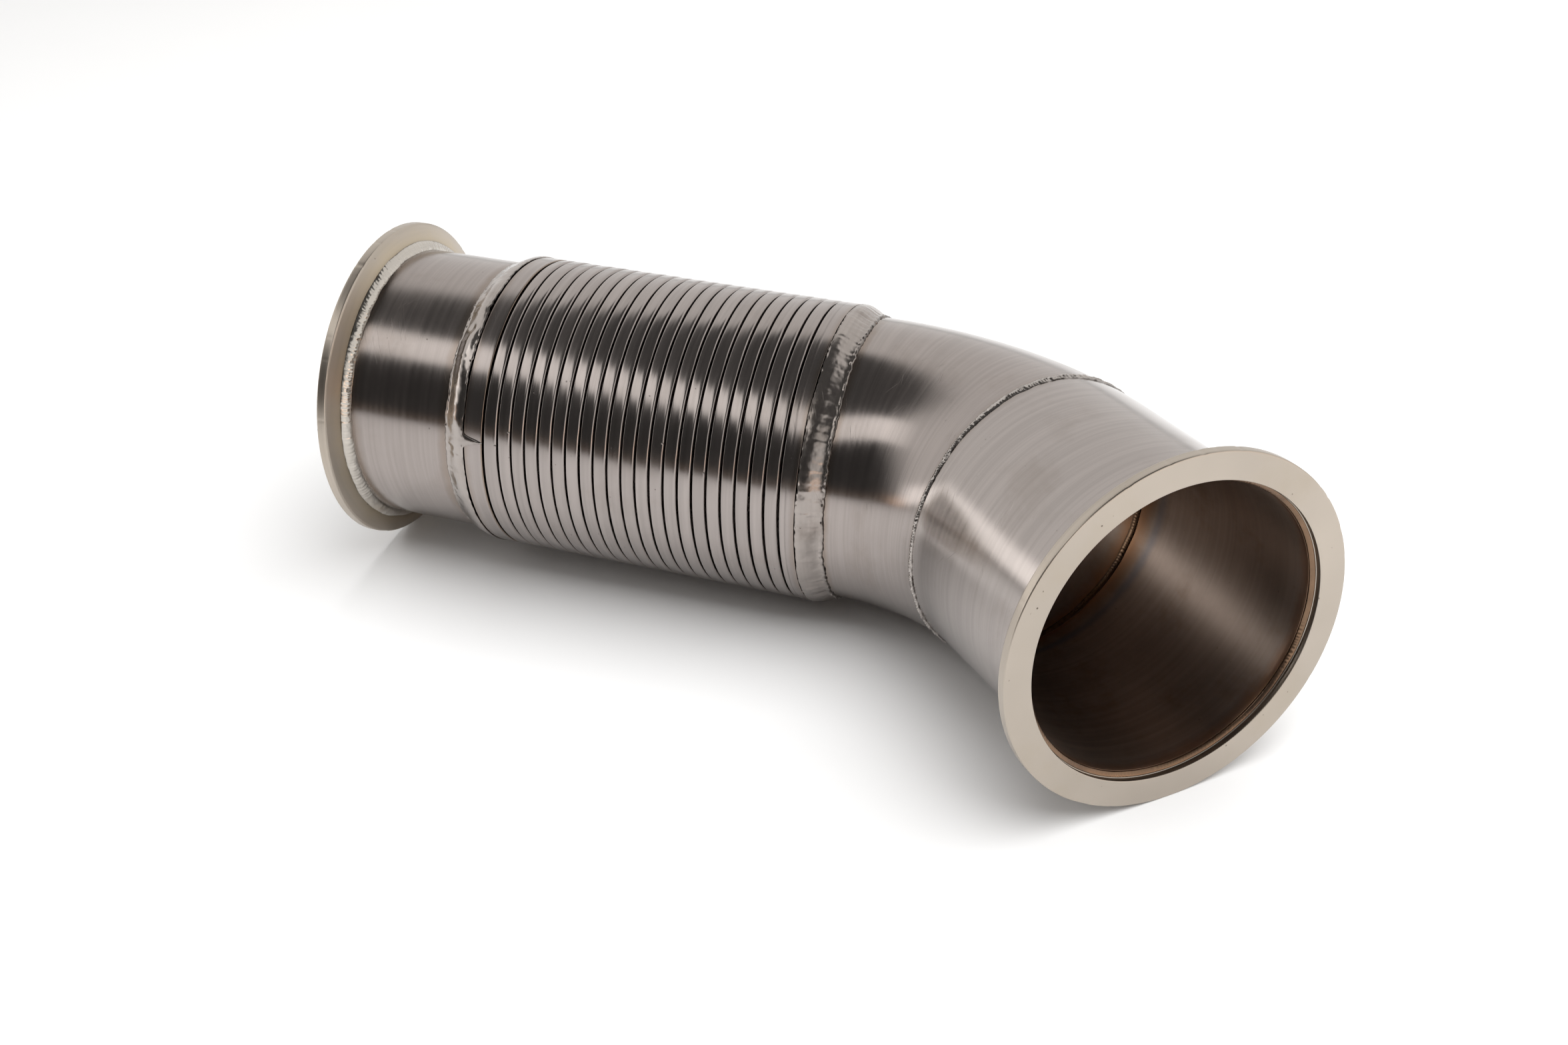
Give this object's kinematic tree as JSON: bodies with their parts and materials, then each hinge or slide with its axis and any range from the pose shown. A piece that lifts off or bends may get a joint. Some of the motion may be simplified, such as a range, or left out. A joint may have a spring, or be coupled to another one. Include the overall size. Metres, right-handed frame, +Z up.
{
  "type": "metal bellows expansion joint",
  "caption": "Flexible stainless exhaust joint: strip-wound hose between a V-band flange and a bent elbow with a second V-band flange.",
  "frame": {"origin": "middle of the underside of the whole joint as it rests on its two flange rims and its elbow", "axes": "+Z up, +X along the hose from the inlet to the outlet seen from above, +Y away from the side the elbow bends to"},
  "size_m": [0.5332, 0.2756, 0.1797],
  "materials": {
    "flange_steel": "turned stainless steel with a faint straw heat tint",
    "tube_steel": "satin brushed stainless tube, brown inside",
    "hose_steel": "satin stainless strip with bright rolled edges and dark grooves",
    "weld_steel": "bright rippled weld metal with dark toes"
  },
  "bodies": {
    "inlet_end": {"inlet_vband_flange": "flange_steel", "inlet_flange_weld": "weld_steel", "inlet_flange_inner_weld": "weld_steel", "inlet_stub_tube": "tube_steel", "inlet_collar_weld": "weld_steel", "inlet_hose_collar": "hose_steel"},
    "turn_01": {"hose_turn_01": "hose_steel"},
    "turn_02": {"hose_turn_02": "hose_steel"},
    "turn_03": {"hose_turn_03": "hose_steel"},
    "turn_04": {"hose_turn_04": "hose_steel"},
    "turn_05": {"hose_turn_05": "hose_steel"},
    "turn_06": {"hose_turn_06": "hose_steel"},
    "turn_07": {"hose_turn_07": "hose_steel"},
    "turn_08": {"hose_turn_08": "hose_steel"},
    "turn_09": {"hose_turn_09": "hose_steel"},
    "turn_10": {"hose_turn_10": "hose_steel"},
    "turn_11": {"hose_turn_11": "hose_steel"},
    "turn_12": {"hose_turn_12": "hose_steel"},
    "turn_13": {"hose_turn_13": "hose_steel"},
    "turn_14": {"hose_turn_14": "hose_steel"},
    "turn_15": {"hose_turn_15": "hose_steel"},
    "turn_16": {"hose_turn_16": "hose_steel"},
    "turn_17": {"hose_turn_17": "hose_steel"},
    "turn_18": {"hose_turn_18": "hose_steel"},
    "turn_19": {"hose_turn_19": "hose_steel"},
    "turn_20": {"hose_turn_20": "hose_steel"},
    "turn_21": {"hose_turn_21": "hose_steel"},
    "outlet_end": {"outlet_hose_collar": "hose_steel", "outlet_collar_weld": "weld_steel", "elbow_bend": "tube_steel", "elbow_seam_weld": "weld_steel", "outlet_tube": "tube_steel", "outlet_flange_weld": "weld_steel", "outlet_flange_inner_weld": "weld_steel", "outlet_vband_flange": "flange_steel"}
  },
  "joints": [
    {"name": "axial_travel_at_junction_01", "type": "slide", "parent": "inlet_end", "child": "turn_01", "axis": [0.9994, 0, -0.0356], "range_m": [-0.0009, 0.0018]},
    {"name": "inlet_half_sideways_bend_at_junction_02", "type": "hinge", "parent": "turn_01", "child": "turn_02", "pos_m": [-0.16146, 0.04811, 0.0864], "axis": [0.0353, 0.1307, 0.9908], "range_deg": [-0.65, 0.65]},
    {"name": "inlet_half_lift_bend_at_junction_03", "type": "hinge", "parent": "turn_02", "child": "turn_03", "pos_m": [-0.15366, 0.04811, 0.08612], "axis": [0.0047, -0.9914, 0.1307], "range_deg": [-0.65, 0.65]},
    {"name": "axial_travel_at_junction_04", "type": "slide", "parent": "turn_03", "child": "turn_04", "axis": [0.9994, 0, -0.0356], "range_m": [-0.0009, 0.0018]},
    {"name": "inlet_half_sideways_bend_at_junction_05", "type": "hinge", "parent": "turn_04", "child": "turn_05", "pos_m": [-0.13807, 0.04811, 0.08557], "axis": [0.0353, 0.1307, 0.9908], "range_deg": [-0.65, 0.65]},
    {"name": "inlet_half_lift_bend", "type": "hinge", "parent": "turn_05", "child": "turn_06", "pos_m": [-0.13028, 0.04811, 0.08529], "axis": [0.0047, -0.9914, 0.1307], "range_deg": [-0.65, 0.65]},
    {"name": "axial_travel_at_junction_07", "type": "slide", "parent": "turn_06", "child": "turn_07", "axis": [0.9994, 0, -0.0356], "range_m": [-0.0009, 0.0018]},
    {"name": "inlet_half_sideways_bend", "type": "hinge", "parent": "turn_07", "child": "turn_08", "pos_m": [-0.11469, 0.04811, 0.08473], "axis": [0.0353, 0.1307, 0.9908], "range_deg": [-0.65, 0.65]},
    {"name": "inlet_half_lift_bend_at_junction_09", "type": "hinge", "parent": "turn_08", "child": "turn_09", "pos_m": [-0.10689, 0.04811, 0.08446], "axis": [0.0047, -0.9914, 0.1307], "range_deg": [-0.65, 0.65]},
    {"name": "axial_travel_at_junction_10", "type": "slide", "parent": "turn_09", "child": "turn_10", "axis": [0.9994, 0, -0.0356], "range_m": [-0.0009, 0.0018]},
    {"name": "inlet_half_sideways_bend_at_junction_11", "type": "hinge", "parent": "turn_10", "child": "turn_11", "pos_m": [-0.0913, 0.04811, 0.0839], "axis": [0.0353, 0.1307, 0.9908], "range_deg": [-0.65, 0.65]},
    {"name": "outlet_half_lift_bend_at_junction_12", "type": "hinge", "parent": "turn_11", "child": "turn_12", "pos_m": [-0.08351, 0.04811, 0.08362], "axis": [0.0047, -0.9914, 0.1307], "range_deg": [-0.65, 0.65]},
    {"name": "axial_travel", "type": "slide", "parent": "turn_12", "child": "turn_13", "axis": [0.9994, 0, -0.0356], "range_m": [-0.0009, 0.0018]},
    {"name": "outlet_half_sideways_bend_at_junction_14", "type": "hinge", "parent": "turn_13", "child": "turn_14", "pos_m": [-0.06792, 0.04811, 0.08306], "axis": [0.0353, 0.1307, 0.9908], "range_deg": [-0.65, 0.65]},
    {"name": "outlet_half_lift_bend_at_junction_15", "type": "hinge", "parent": "turn_14", "child": "turn_15", "pos_m": [-0.06012, 0.04811, 0.08279], "axis": [0.0047, -0.9914, 0.1307], "range_deg": [-0.65, 0.65]},
    {"name": "axial_travel_at_junction_16", "type": "slide", "parent": "turn_15", "child": "turn_16", "axis": [0.9994, 0, -0.0356], "range_m": [-0.0009, 0.0018]},
    {"name": "outlet_half_sideways_bend", "type": "hinge", "parent": "turn_16", "child": "turn_17", "pos_m": [-0.04453, 0.04811, 0.08223], "axis": [0.0353, 0.1307, 0.9908], "range_deg": [-0.65, 0.65]},
    {"name": "outlet_half_lift_bend", "type": "hinge", "parent": "turn_17", "child": "turn_18", "pos_m": [-0.03674, 0.04811, 0.08195], "axis": [0.0047, -0.9914, 0.1307], "range_deg": [-0.65, 0.65]},
    {"name": "axial_travel_at_junction_19", "type": "slide", "parent": "turn_18", "child": "turn_19", "axis": [0.9994, 0, -0.0356], "range_m": [-0.0009, 0.0018]},
    {"name": "outlet_half_sideways_bend_at_junction_20", "type": "hinge", "parent": "turn_19", "child": "turn_20", "pos_m": [-0.02115, 0.04811, 0.0814], "axis": [0.0353, 0.1307, 0.9908], "range_deg": [-0.65, 0.65]},
    {"name": "outlet_half_lift_bend_at_junction_21", "type": "hinge", "parent": "turn_20", "child": "turn_21", "pos_m": [-0.01335, 0.04811, 0.08112], "axis": [0.0047, -0.9914, 0.1307], "range_deg": [-0.65, 0.65]},
    {"name": "axial_travel_at_junction_22", "type": "slide", "parent": "turn_21", "child": "outlet_end", "axis": [0.9994, 0, -0.0356], "range_m": [-0.0009, 0.0018]}
  ],
  "couplings": [
    {"joint": "axial_travel_at_junction_01", "follows": "axial_travel", "ratio": 1},
    {"joint": "axial_travel_at_junction_04", "follows": "axial_travel", "ratio": 1},
    {"joint": "axial_travel_at_junction_07", "follows": "axial_travel", "ratio": 1},
    {"joint": "axial_travel_at_junction_10", "follows": "axial_travel", "ratio": 1},
    {"joint": "axial_travel_at_junction_16", "follows": "axial_travel", "ratio": 1},
    {"joint": "axial_travel_at_junction_19", "follows": "axial_travel", "ratio": 1},
    {"joint": "axial_travel_at_junction_22", "follows": "axial_travel", "ratio": 1},
    {"joint": "inlet_half_sideways_bend_at_junction_02", "follows": "inlet_half_sideways_bend", "ratio": 1},
    {"joint": "inlet_half_sideways_bend_at_junction_05", "follows": "inlet_half_sideways_bend", "ratio": 1},
    {"joint": "inlet_half_sideways_bend_at_junction_11", "follows": "inlet_half_sideways_bend", "ratio": 1},
    {"joint": "inlet_half_lift_bend_at_junction_03", "follows": "inlet_half_lift_bend", "ratio": 1},
    {"joint": "inlet_half_lift_bend_at_junction_09", "follows": "inlet_half_lift_bend", "ratio": 1},
    {"joint": "outlet_half_lift_bend_at_junction_12", "follows": "outlet_half_lift_bend", "ratio": 1},
    {"joint": "outlet_half_lift_bend_at_junction_15", "follows": "outlet_half_lift_bend", "ratio": 1},
    {"joint": "outlet_half_lift_bend_at_junction_21", "follows": "outlet_half_lift_bend", "ratio": 1},
    {"joint": "outlet_half_sideways_bend_at_junction_14", "follows": "outlet_half_sideways_bend", "ratio": 1},
    {"joint": "outlet_half_sideways_bend_at_junction_20", "follows": "outlet_half_sideways_bend", "ratio": 1}
  ]
}
